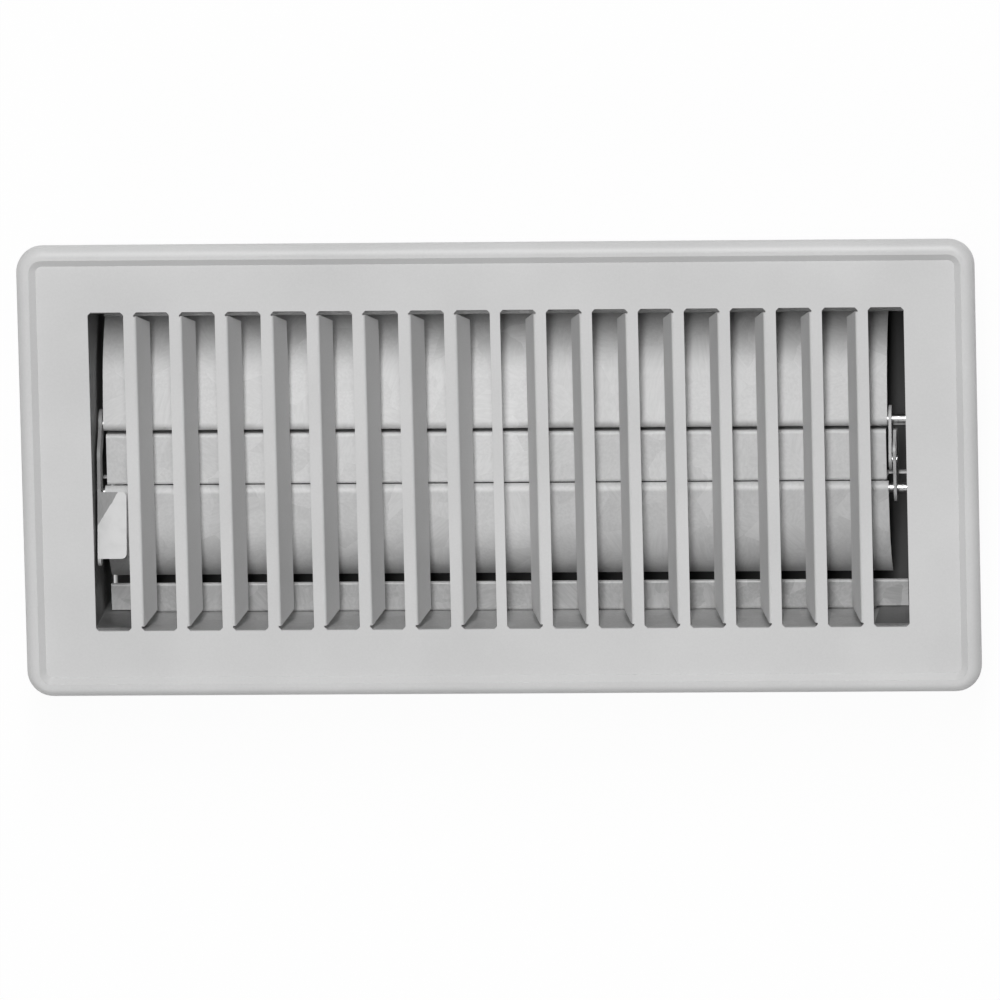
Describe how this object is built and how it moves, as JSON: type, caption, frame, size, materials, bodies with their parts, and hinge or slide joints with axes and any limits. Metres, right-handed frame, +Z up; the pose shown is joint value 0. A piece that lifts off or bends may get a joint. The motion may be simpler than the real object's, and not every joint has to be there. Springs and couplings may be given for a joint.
{
  "type": "floor register",
  "caption": "Drop-in floor register: a dished sheet-metal face with long slots and lanced fins over a shallow can with a two-leaf damper and a thumb lever in the end slot.",
  "frame": {"origin": "centre of the face's rim on the finished floor plane", "axes": "+X along the register away from the lever, +Y to the rear across it, +Z up out of the floor"},
  "size_m": [0.2922, 0.1396, 0.0569],
  "materials": {
    "face_enamel": "satin light grey enamel",
    "galvanised": "dull galvanised sheet",
    "damper_leaf": "bright galvanised sheet",
    "bright_steel": "zinc-plated steel",
    "lever_enamel": "white enamel"
  },
  "bodies": {
    "frame": {"face_plate": "face_enamel", "rear_wall": "galvanised", "front_wall": "galvanised", "left_end_plate": "galvanised", "right_end_plate": "galvanised", "rear_stop_ledge": "galvanised", "front_stop_ledge": "galvanised", "centre_strip": "damper_leaf", "friction_washer": "bright_steel", "corner_rivets": "bright_steel"},
    "rear_damper": {"rear_leaf": "damper_leaf", "rear_hinge_rod": "bright_steel", "rear_push_nuts": "bright_steel", "rear_crank": "galvanised", "drive_pin": "bright_steel", "operating_lever": "lever_enamel"},
    "front_damper": {"front_leaf": "damper_leaf", "front_hinge_rod": "bright_steel", "front_push_nuts": "bright_steel", "front_crank": "galvanised"}
  },
  "joints": [
    {"name": "rear_leaf_turn", "type": "hinge", "parent": "frame", "child": "rear_damper", "pos_m": [0, 0.0107, -0.019], "axis": [-1, 0, 0], "range_deg": [-10, 44]},
    {"name": "front_leaf_turn", "type": "hinge", "parent": "frame", "child": "front_damper", "pos_m": [0, -0.0107, -0.019], "axis": [1, 0, 0], "range_deg": [-10, 44]}
  ],
  "couplings": [
    {"joint": "front_leaf_turn", "follows": "rear_leaf_turn", "ratio": 1}
  ]
}
